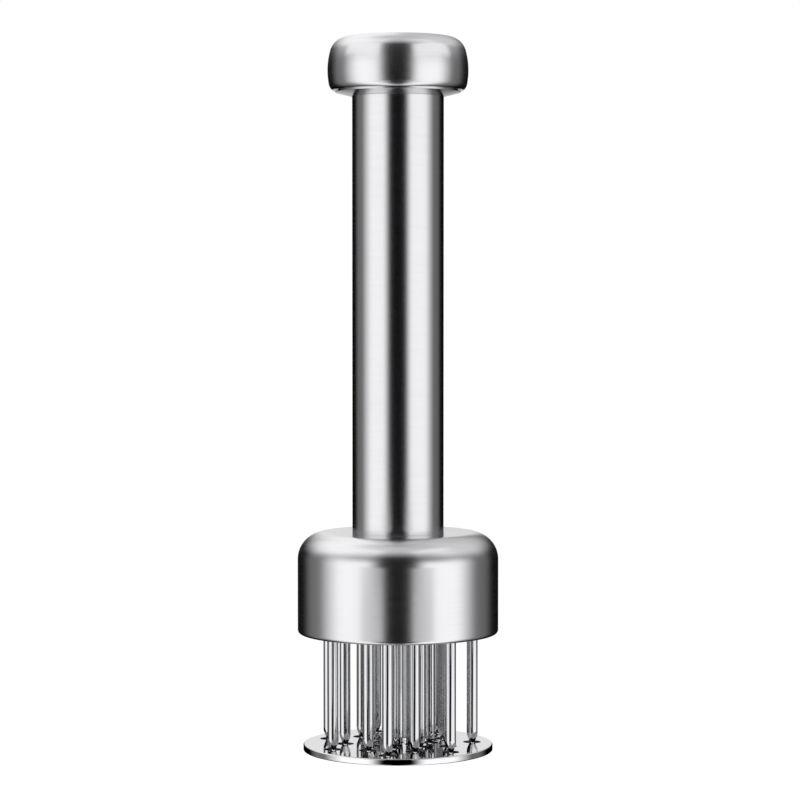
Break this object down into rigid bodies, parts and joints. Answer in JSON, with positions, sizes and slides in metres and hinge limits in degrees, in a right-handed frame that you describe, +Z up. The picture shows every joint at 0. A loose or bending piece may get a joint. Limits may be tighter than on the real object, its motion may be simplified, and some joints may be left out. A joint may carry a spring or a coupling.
{
  "type": "meat tenderizer",
  "caption": "Handheld plunger tenderizer: a capped steel tube on a bell with rings of pointed pins, covered at rest by a sprung guard disc on a central rod.",
  "frame": {"origin": "on the axis, at the underside of the guard disc at rest", "axes": "+Z up along the handle; -Y faces the camera of the picture, +X to its right"},
  "size_m": [0.055, 0.055, 0.195],
  "materials": {
    "brushed_steel": "satin, brushed round the axis",
    "polished_steel": "mirror polished stainless steel",
    "pin_steel": "bright drawn stainless steel",
    "turned_steel": "turned",
    "fastener_steel": "plain stainless steel",
    "spring_steel": "drawn wire",
    "bronze": "sintered bronze",
    "nylon": "moulded"
  },
  "bodies": {
    "handle": {"housing": "brushed_steel", "pin_plate": "turned_steel", "backing_plate": "turned_steel", "plate_screws": "fastener_steel", "pin_carrier": "turned_steel", "guide_bush": "bronze", "lower_plug": "turned_steel", "stop_washer": "nylon", "handle_tube": "brushed_steel", "upper_plug": "turned_steel", "upper_spring_seat": "turned_steel", "return_spring": "spring_steel", "cap_stud": "fastener_steel", "cap_base": "brushed_steel", "cap_shell": "brushed_steel", "outer_pin_1": "pin_steel", "outer_pin_2": "pin_steel", "outer_pin_3": "pin_steel", "outer_pin_4": "pin_steel", "outer_pin_5": "pin_steel", "outer_pin_6": "pin_steel", "outer_pin_7": "pin_steel", "middle_pin_1": "pin_steel", "middle_pin_2": "pin_steel", "middle_pin_3": "pin_steel", "middle_pin_4": "pin_steel", "middle_pin_5": "pin_steel", "middle_pin_6": "pin_steel", "middle_pin_7": "pin_steel", "inner_pin_1": "pin_steel", "inner_pin_2": "pin_steel", "inner_pin_3": "pin_steel", "inner_pin_4": "pin_steel", "inner_pin_5": "pin_steel", "inner_pin_6": "pin_steel", "inner_pin_7": "pin_steel"},
    "guard": {"guard_disc": "polished_steel", "disc_boss": "polished_steel", "disc_screw": "fastener_steel", "guide_rod": "polished_steel", "retaining_clip": "fastener_steel", "lower_spring_seat": "turned_steel"}
  },
  "joints": [
    {"name": "guard_slide", "type": "slide", "parent": "handle", "child": "guard", "axis": [0, 0, 1], "range_m": [0, 0.034], "stiffness_N_per_m": 620, "springref_m": -0.02, "deforming": ["return_spring"]}
  ]
}
